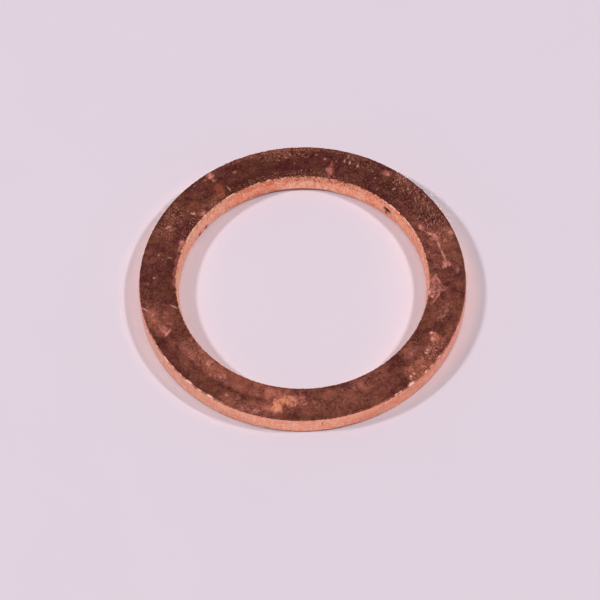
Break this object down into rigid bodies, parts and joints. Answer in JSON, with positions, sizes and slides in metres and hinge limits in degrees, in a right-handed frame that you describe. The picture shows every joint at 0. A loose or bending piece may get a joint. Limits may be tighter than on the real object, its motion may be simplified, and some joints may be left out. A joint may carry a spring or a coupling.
{
  "type": "copper crush washer",
  "caption": "Flat copper sealing ring with a plain round bore and blanked edges, crushed under a bolt head or plug to seal a fluid port.",
  "frame": {"origin": "middle of the lower face, on the bore's axis, where the ring lies on its seat", "axes": "+Z along the bore's axis, away from the seat; +X to the right and -Y towards the viewer of the picture"},
  "size_m": [0.024, 0.024, 0.0016],
  "materials": {
    "copper": "annealed copper, tarnished dark brown on the faces and bright on the sheared walls, with small scratches and spots"
  },
  "bodies": {
    "root": {"washer": "copper"}
  },
  "joints": []
}
